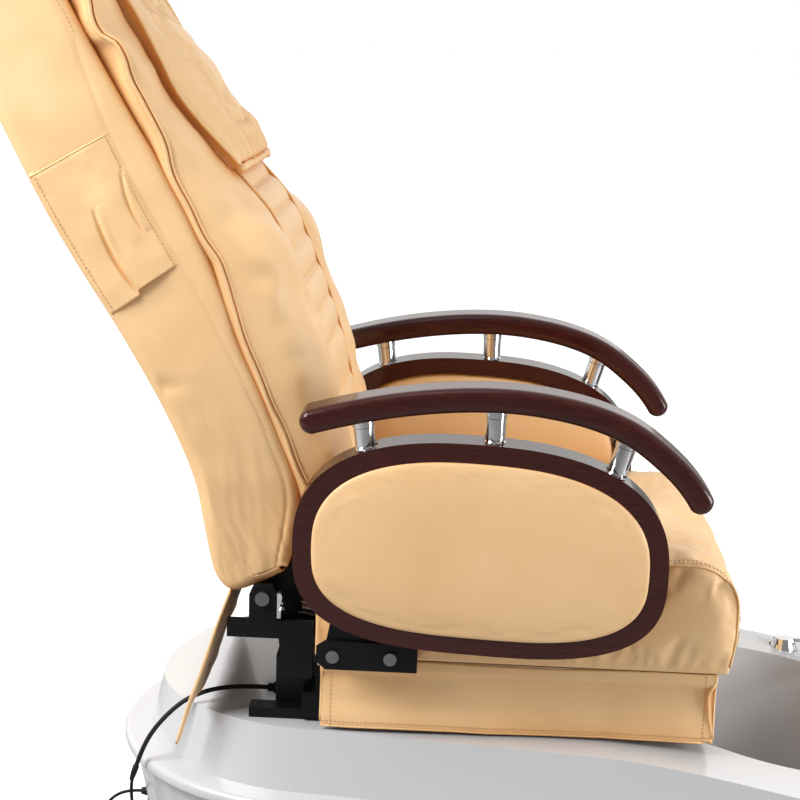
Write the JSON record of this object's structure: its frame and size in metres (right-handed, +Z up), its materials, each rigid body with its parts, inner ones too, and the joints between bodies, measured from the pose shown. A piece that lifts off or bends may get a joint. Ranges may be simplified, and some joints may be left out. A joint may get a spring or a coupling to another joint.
{
  "type": "pedicure spa chair",
  "caption": "Reclining leather massage armchair with oval wood armrests, sliding on a white moulded base with a jetted foot bath in front.",
  "frame": {"origin": "on the floor under the middle of the whole chair and base", "axes": "+Z up, the chair faces -Y, its right-hand side is -X"},
  "size_m": [0.7836, 1.6435, 1.5173],
  "materials": {
    "white_gelcoat": "gloss",
    "white_plastic": "satin",
    "tan_leather": "satin",
    "mahogany": "gloss",
    "chrome": "polished",
    "black_steel": "satin",
    "black_rubber": "matte",
    "black_plastic": "matte",
    "bare_steel": "satin",
    "zinc": "satin",
    "plywood": "matte",
    "lens": "gloss",
    "brass": "satin",
    "grey_plastic": "satin"
  },
  "bodies": {
    "base": {"base_shell": "white_gelcoat", "service_panel": "grey_plastic", "panel_screws": "zinc", "base_frame": "black_steel", "levelling_feet": "black_rubber", "tub_drain": "chrome", "drain_pipe": "grey_plastic", "jet_housing": "grey_plastic", "jet_cover": "chrome", "jet_motor": "black_steel", "tub_lamp": "lens", "mixer_body": "chrome", "tub_spout": "chrome", "water_inlets": "brass", "footrest_post": "chrome", "footrest_pad": "white_gelcoat", "seat_rails": "black_steel", "slide_motor": "black_steel", "power_box": "black_plastic", "box_gland": "black_rubber", "lead_sleeve": "black_rubber", "power_lead": "black_rubber", "lead_socket": "black_plastic", "lead_plug": "black_rubber"},
    "stopper": {"drain_stopper": "chrome"},
    "impeller": {"jet_impeller": "white_plastic"},
    "lever": {"mixer_lever": "chrome"},
    "slide_screw": {"slide_screw": "bare_steel"},
    "seat": {"seat_frame": "black_steel", "actuator_pin": "zinc", "hinge_bolts": "zinc", "seat_pan": "plywood", "seat_cushion": "tan_leather", "seat_skirt": "tan_leather", "rear_flap": "tan_leather", "arm_brackets": "black_steel", "arm_bolts": "zinc"},
    "recline_motor": {"recline_motor": "black_steel"},
    "recline_rod": {"recline_rod": "chrome"},
    "back": {"back_frame": "black_steel", "crank_pin": "zinc", "back_shell": "tan_leather", "back_pad": "tan_leather", "head_pillow": "tan_leather", "side_pocket": "tan_leather", "massage_guides": "bare_steel", "massage_motor": "black_plastic"},
    "massage_screw": {"massage_screw": "bare_steel"},
    "massage_carriage": {"massage_carriage": "black_plastic"},
    "kneader": {"kneading_rollers": "white_plastic"},
    "arm_right": {"arm_frame_right": "mahogany", "arm_panel_right": "tan_leather", "arm_posts_right": "chrome", "arm_rail_right": "mahogany", "arm_tongue_right": "black_steel"},
    "arm_left": {"arm_frame_left": "mahogany", "arm_panel_left": "tan_leather", "arm_posts_left": "chrome", "arm_rail_left": "mahogany", "arm_tongue_left": "black_steel"}
  },
  "joints": [
    {"name": "seat_slide", "type": "slide", "parent": "base", "child": "seat", "axis": [0, -1, 0], "range_m": [-0.02, 0.09]},
    {"name": "slide_screw_spin", "type": "hinge", "parent": "base", "child": "slide_screw", "pos_m": [0.125, 0.1, 0.386], "axis": [0, 1, 0], "range_deg": [-900, 4050]},
    {"name": "back_recline", "type": "hinge", "parent": "seat", "child": "back", "pos_m": [0, 0.358, 0.552], "axis": [-1, 0, 0], "range_deg": [-6, 24]},
    {"name": "recline_motor_tilt", "type": "hinge", "parent": "seat", "child": "recline_motor", "pos_m": [0, 0.1, 0.395], "axis": [1, 0, 0], "range_deg": [-0.4, 1.6]},
    {"name": "recline_rod_slide", "type": "slide", "parent": "recline_motor", "child": "recline_rod", "axis": [0, 0.9744, 0.2248], "range_m": [-0.0395, 0.0105]},
    {"name": "massage_lift", "type": "slide", "parent": "back", "child": "massage_carriage", "axis": [0, 0.454, 0.891], "range_m": [-0.28, 0.27]},
    {"name": "massage_screw_spin", "type": "hinge", "parent": "back", "child": "massage_screw", "pos_m": [0, 0.44074, 0.84654], "axis": [0, 0.454, 0.891], "range_deg": [-10100, 9750]},
    {"name": "kneading_spin", "type": "hinge", "parent": "massage_carriage", "child": "kneader", "pos_m": [0, 0.46802, 1.02344], "axis": [1, 0, 0], "continuous": true},
    {"name": "arm_right_lift", "type": "hinge", "parent": "seat", "child": "arm_right", "pos_m": [-0.3, 0.251, 0.483], "axis": [-1, 0, 0], "range_deg": [0, 80]},
    {"name": "arm_left_lift", "type": "hinge", "parent": "seat", "child": "arm_left", "pos_m": [0.3, 0.251, 0.483], "axis": [-1, 0, 0], "range_deg": [0, 80]},
    {"name": "mixer_turn", "type": "hinge", "parent": "base", "child": "lever", "pos_m": [0.298, -0.51, 0.32], "axis": [0, 0, 1], "range_deg": [-50, 50]},
    {"name": "stopper_lift", "type": "slide", "parent": "base", "child": "stopper", "axis": [0, 0, 1], "range_m": [0, 0.01]},
    {"name": "impeller_spin", "type": "hinge", "parent": "base", "child": "impeller", "pos_m": [0, -0.6589, 0.175], "axis": [0, 0.9613, 0.2756], "continuous": true}
  ],
  "couplings": [
    {"joint": "slide_screw_spin", "follows": "seat_slide", "rad_per_m": 785.4},
    {"joint": "recline_motor_tilt", "follows": "back_recline", "ratio": 0.06},
    {"joint": "recline_rod_slide", "follows": "back_recline", "m_per_rad": -0.0927},
    {"joint": "massage_screw_spin", "follows": "massage_lift", "rad_per_m": 628.32}
  ]
}
